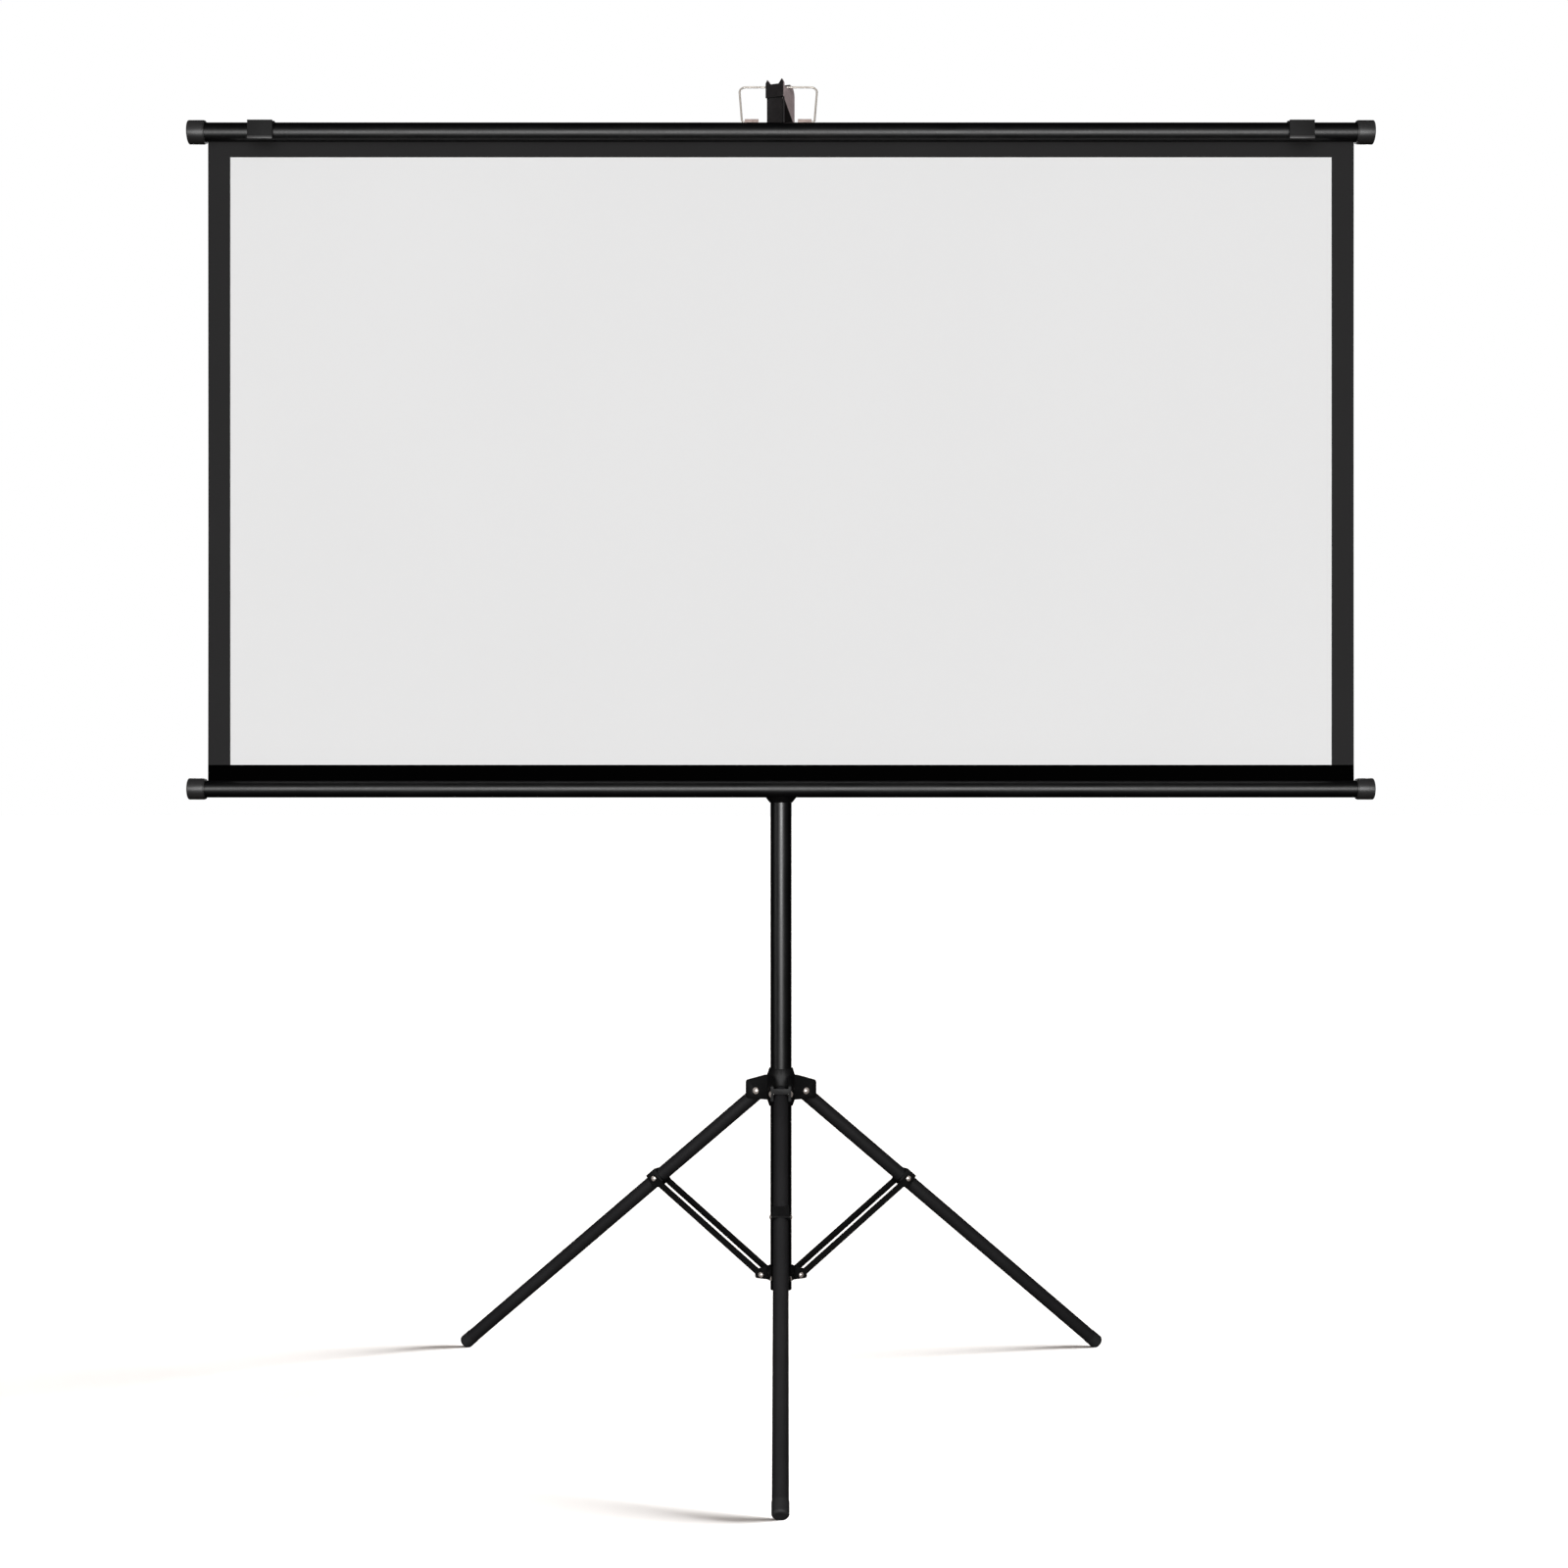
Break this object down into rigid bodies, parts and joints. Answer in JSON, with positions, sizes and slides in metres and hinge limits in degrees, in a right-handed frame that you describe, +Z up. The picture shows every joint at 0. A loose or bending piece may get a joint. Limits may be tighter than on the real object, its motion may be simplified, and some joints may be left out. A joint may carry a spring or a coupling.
{
  "type": "portable projection screen",
  "caption": "Tripod projection screen with folding legs, a roller case on a turning bracket, and a telescopic pole whose hook holds the screen by a wire bail.",
  "frame": {"origin": "on the floor, at the middle of the footprint's bounding box", "axes": "+X across the screen to the viewer's right, -Y towards the viewers, +Z up"},
  "size_m": [1.713, 0.884, 1.918],
  "materials": {
    "black_paint": "satin powder coat",
    "black_moulding": "fine moulded texture",
    "rubber_tip": "moulded rubber",
    "rivet_steel": "bright nickel plate",
    "dark_steel": "zinc plated",
    "bail_steel": "bright drawn wire",
    "hook_metal": "dark grey cast, satin",
    "lug_metal": "bronzed steel",
    "nylon": "natural nylon",
    "screen_cloth": "matt white with black borders"
  },
  "bodies": {
    "stand": {"main_tube": "black_paint", "tube_plug": "black_moulding", "lower_collar": "black_moulding", "collar_rivets": "rivet_steel", "collar_screw": "dark_steel", "guide_bush": "nylon", "lock_collar": "black_moulding"},
    "hub": {"leg_hub": "black_moulding", "hub_rivets": "rivet_steel"},
    "hub_lock": {"hub_knob": "black_moulding"},
    "extension_lock": {"extension_knob": "black_moulding"},
    "head": {"case_bracket": "black_moulding", "bracket_bushes": "nylon"},
    "bracket_lock": {"bracket_knob": "black_moulding"},
    "extension": {"extension_tube": "black_paint", "extension_glide": "nylon", "hook": "hook_metal", "hook_rivet": "rivet_steel"},
    "case": {"pivot_stud": "dark_steel", "case_cradle": "black_paint", "cradle_rivets": "rivet_steel", "case_tube": "black_paint", "case_cap_left": "black_moulding", "case_cap_right": "black_moulding", "spring_rod": "dark_steel", "roller_spring": "dark_steel", "screen_fabric": "screen_cloth"},
    "roller": {"roller_tube": "dark_steel", "roller_plug_left": "nylon", "roller_plug_right": "nylon", "fabric_wraps": "screen_cloth"},
    "top_bar": {"top_tube": "black_paint", "top_cap_left": "black_moulding", "top_cap_right": "black_moulding", "hem_rod": "dark_steel", "bail_lugs": "lug_metal"},
    "bail": {"bail": "bail_steel"},
    "clip_left": {"clip_left": "black_moulding"},
    "clip_right": {"clip_right": "black_moulding"},
    "leg_front": {"leg_tube_front": "black_paint", "leg_plug_front": "black_moulding", "foot_front": "rubber_tip", "saddle_front": "black_moulding"},
    "strut_front": {"strut_front": "black_paint", "strut_rivets_front": "rivet_steel"},
    "leg_right": {"leg_tube_right": "black_paint", "leg_plug_right": "black_moulding", "foot_right": "rubber_tip", "saddle_right": "black_moulding"},
    "strut_right": {"strut_right": "black_paint", "strut_rivets_right": "rivet_steel"},
    "leg_left": {"leg_tube_left": "black_paint", "leg_plug_left": "black_moulding", "foot_left": "rubber_tip", "saddle_left": "black_moulding"},
    "strut_left": {"strut_left": "black_paint", "strut_rivets_left": "rivet_steel"}
  },
  "joints": [
    {"name": "hub_slide", "type": "slide", "parent": "stand", "child": "hub", "axis": [0, 0, 1], "range_m": [0, 0.18513]},
    {"name": "hub_knob_turn", "type": "hinge", "parent": "hub", "child": "hub_lock", "pos_m": [0, 0.14316, 0.444], "axis": [0, 1, 0], "range_deg": [0, 360]},
    {"name": "extension_knob_turn", "type": "hinge", "parent": "stand", "child": "extension_lock", "pos_m": [0, 0.14316, 1.04], "axis": [0, 1, 0], "range_deg": [0, 360]},
    {"name": "head_turn", "type": "hinge", "parent": "stand", "child": "head", "pos_m": [0, 0.14316, 0.8864], "axis": [0, 0, 1], "range_deg": [-180, 180]},
    {"name": "bracket_knob_turn", "type": "hinge", "parent": "head", "child": "bracket_lock", "pos_m": [0, 0.14316, 0.8984], "axis": [0, 1, 0], "range_deg": [0, 360]},
    {"name": "extension_slide", "type": "slide", "parent": "head", "child": "extension", "axis": [0, 0, 1], "range_m": [-0.76, 0]},
    {"name": "case_level", "type": "hinge", "parent": "head", "child": "case", "pos_m": [0, 0.14316, 0.8864], "axis": [0, 1, 0], "range_deg": [-0.5, 0.5]},
    {"name": "top_bar_slide", "type": "slide", "parent": "case", "child": "top_bar", "axis": [0, 0, 1], "range_m": [-0.76, 0], "deforming": ["screen_fabric"]},
    {"name": "roller_spin", "type": "hinge", "parent": "case", "child": "roller", "pos_m": [0, 0.10416, 0.8864], "axis": [1, 0, 0], "range_deg": [0, 4594]},
    {"name": "bail_tilt", "type": "hinge", "parent": "top_bar", "child": "bail", "pos_m": [0, 0.11025, 1.85253], "axis": [1, 0, 0], "range_deg": [0, 2]},
    {"name": "clip_left_turn", "type": "hinge", "parent": "top_bar", "child": "clip_left", "pos_m": [0, 0.10416, 1.8358], "axis": [1, 0, 0], "range_deg": [-25, 25]},
    {"name": "clip_right_turn", "type": "hinge", "parent": "top_bar", "child": "clip_right", "pos_m": [0, 0.10416, 1.8358], "axis": [1, 0, 0], "range_deg": [-25, 25]},
    {"name": "leg_front_fold", "type": "hinge", "parent": "hub", "child": "leg_front", "pos_m": [0, 0.10866, 0.444], "axis": [1, 0, 0], "range_deg": [0, 48.24]},
    {"name": "strut_front_fold", "type": "hinge", "parent": "stand", "child": "strut_front", "pos_m": [0, 0.11686, 0.175], "axis": [1, 0, 0], "range_deg": [-51.18, 0]},
    {"name": "leg_right_fold", "type": "hinge", "parent": "hub", "child": "leg_right", "pos_m": [0.02988, 0.16042, 0.444], "axis": [-0.5, 0.866, 0], "range_deg": [0, 48.24]},
    {"name": "strut_right_fold", "type": "hinge", "parent": "stand", "child": "strut_right", "pos_m": [0.02278, 0.15632, 0.175], "axis": [-0.5, 0.866, 0], "range_deg": [-51.18, 0]},
    {"name": "leg_left_fold", "type": "hinge", "parent": "hub", "child": "leg_left", "pos_m": [-0.02988, 0.16042, 0.444], "axis": [-0.5, -0.866, 0], "range_deg": [0, 48.24]},
    {"name": "strut_left_fold", "type": "hinge", "parent": "stand", "child": "strut_left", "pos_m": [-0.02278, 0.15632, 0.175], "axis": [-0.5, -0.866, 0], "range_deg": [-51.18, 0]}
  ],
  "couplings": [
    {"joint": "top_bar_slide", "follows": "extension_slide", "ratio": 1},
    {"joint": "roller_spin", "follows": "extension_slide", "rad_per_m": -105.26},
    {"joint": "leg_front_fold", "follows": "hub_slide", "rad_per_m": 4.547},
    {"joint": "strut_front_fold", "follows": "hub_slide", "rad_per_m": -4.8238},
    {"joint": "leg_right_fold", "follows": "hub_slide", "rad_per_m": 4.547},
    {"joint": "strut_right_fold", "follows": "hub_slide", "rad_per_m": -4.8238},
    {"joint": "leg_left_fold", "follows": "hub_slide", "rad_per_m": 4.547},
    {"joint": "strut_left_fold", "follows": "hub_slide", "rad_per_m": -4.8238}
  ]
}
